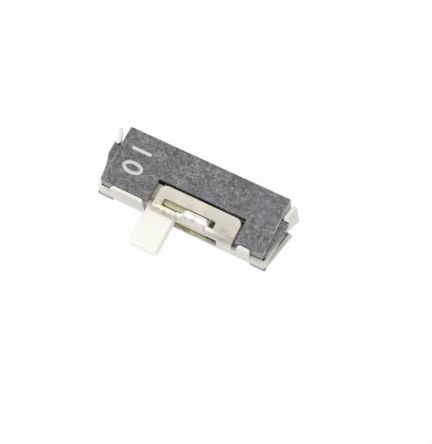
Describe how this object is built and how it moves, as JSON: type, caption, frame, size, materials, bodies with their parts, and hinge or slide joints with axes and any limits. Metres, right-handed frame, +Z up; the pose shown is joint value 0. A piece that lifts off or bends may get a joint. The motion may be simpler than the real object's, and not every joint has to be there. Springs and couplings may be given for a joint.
{
  "type": "slide switch",
  "caption": "Ultra-miniature surface-mount slide switch: moulded housing in a folded metal shell, with a side knob that slides along its length and clicks at each end.",
  "frame": {"origin": "on the board plane, under the middle of the body, in the face of the shell's floor", "axes": "+X along the switch in the slider's direction of travel, -Y out of the front where the knob is, +Z up from the board to the moulded face"},
  "size_m": [0.0078, 0.0044, 0.0014],
  "materials": {
    "housing": "black glass-filled moulding, matt and speckled",
    "shell": "pale plated sheet metal, satin",
    "slider": "cream-white moulded plastic, satin",
    "wiper": "bare spring bronze",
    "terminal": "tinned contact metal"
  },
  "bodies": {
    "case": {"housing": "housing", "shell": "shell", "terminal_left": "terminal", "terminal_common": "terminal", "terminal_right": "terminal"},
    "slider": {"slider": "slider", "wiper": "wiper"}
  },
  "joints": [
    {"name": "slider_travel", "type": "slide", "parent": "case", "child": "slider", "axis": [1, 0, 0], "range_m": [0, 0.0017]}
  ]
}
